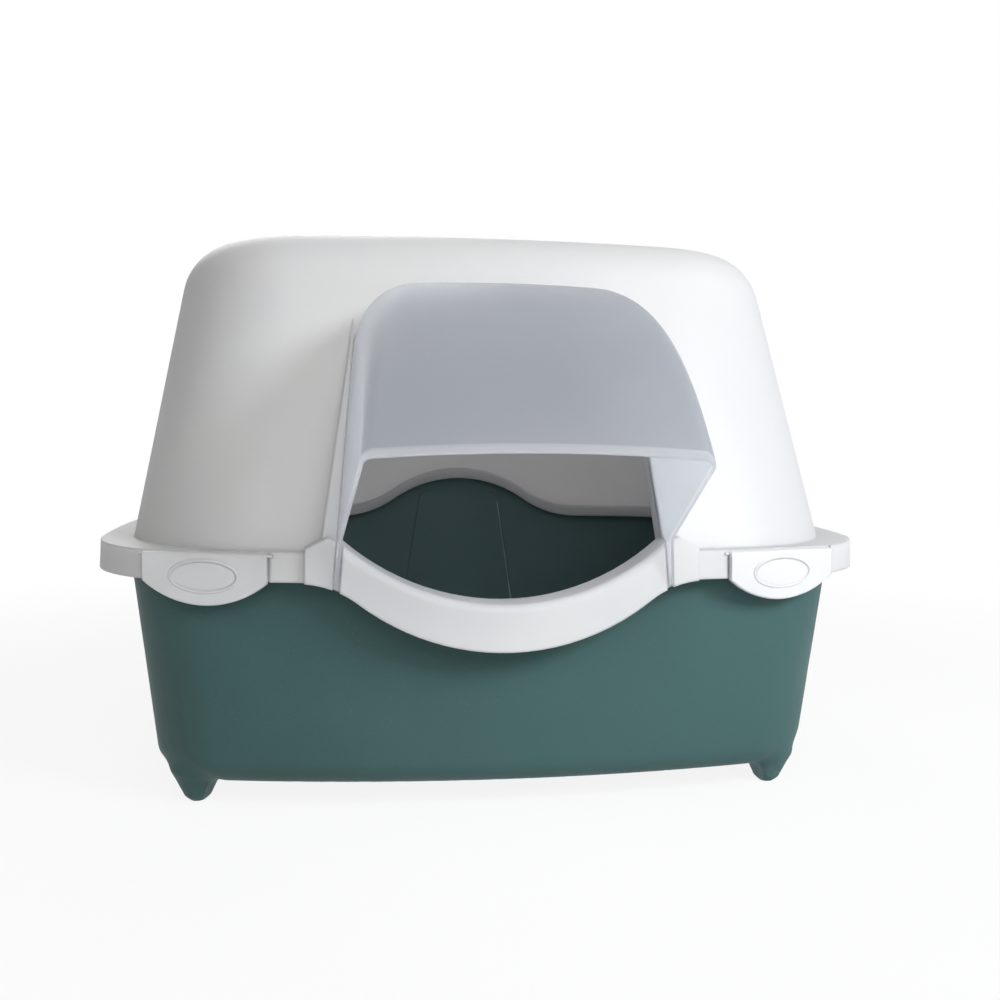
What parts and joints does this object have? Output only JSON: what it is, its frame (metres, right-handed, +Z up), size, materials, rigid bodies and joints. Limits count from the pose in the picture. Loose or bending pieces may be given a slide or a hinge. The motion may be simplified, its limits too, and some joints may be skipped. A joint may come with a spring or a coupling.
{
  "type": "covered litter box",
  "caption": "Covered litter box: teal tray with feet, white domed hood clipped to its rim, open entry under a translucent visor.",
  "frame": {"origin": "on the floor under the middle of the whole object's box, visor included", "axes": "+X to the right as seen from the entry, +Y from the entry to the back, +Z up"},
  "size_m": [0.56, 0.5136, 0.399],
  "materials": {
    "tray_teal": "satin",
    "hood_white": "satin",
    "visor_milky": "translucent satin",
    "clip_white": "satin"
  },
  "bodies": {
    "tray": {"base_tray": "tray_teal"},
    "cover": {"hood": "hood_white"},
    "visor": {"entry_visor": "visor_milky"},
    "clip_front_left": {"clip_front_left": "clip_white"},
    "clip_front_right": {"clip_front_right": "clip_white"},
    "clip_rear_left": {"clip_rear_left": "clip_white"},
    "clip_rear_right": {"clip_rear_right": "clip_white"}
  },
  "joints": [
    {"name": "hood_lift", "type": "slide", "parent": "tray", "child": "cover", "axis": [0, 0, 1], "range_m": [0, 0.25]},
    {"name": "visor_pull", "type": "slide", "parent": "cover", "child": "visor", "axis": [0, -1, 0], "range_m": [0, 0.15]},
    {"name": "clip_front_left_swing", "type": "hinge", "parent": "cover", "child": "clip_front_left", "pos_m": [-0.19124, -0.10713, 0.1765], "axis": [-0.9647, 0.2635, 0], "range_deg": [0, 100]},
    {"name": "clip_front_right_swing", "type": "hinge", "parent": "cover", "child": "clip_front_right", "pos_m": [0.19124, -0.10713, 0.1765], "axis": [-0.9647, -0.2635, 0], "range_deg": [0, 100]},
    {"name": "clip_rear_left_swing", "type": "hinge", "parent": "cover", "child": "clip_rear_left", "pos_m": [-0.19124, 0.23657, 0.1765], "axis": [0.9647, 0.2635, 0], "range_deg": [0, 100]},
    {"name": "clip_rear_right_swing", "type": "hinge", "parent": "cover", "child": "clip_rear_right", "pos_m": [0.19124, 0.23657, 0.1765], "axis": [0.9647, -0.2635, 0], "range_deg": [0, 100]}
  ]
}
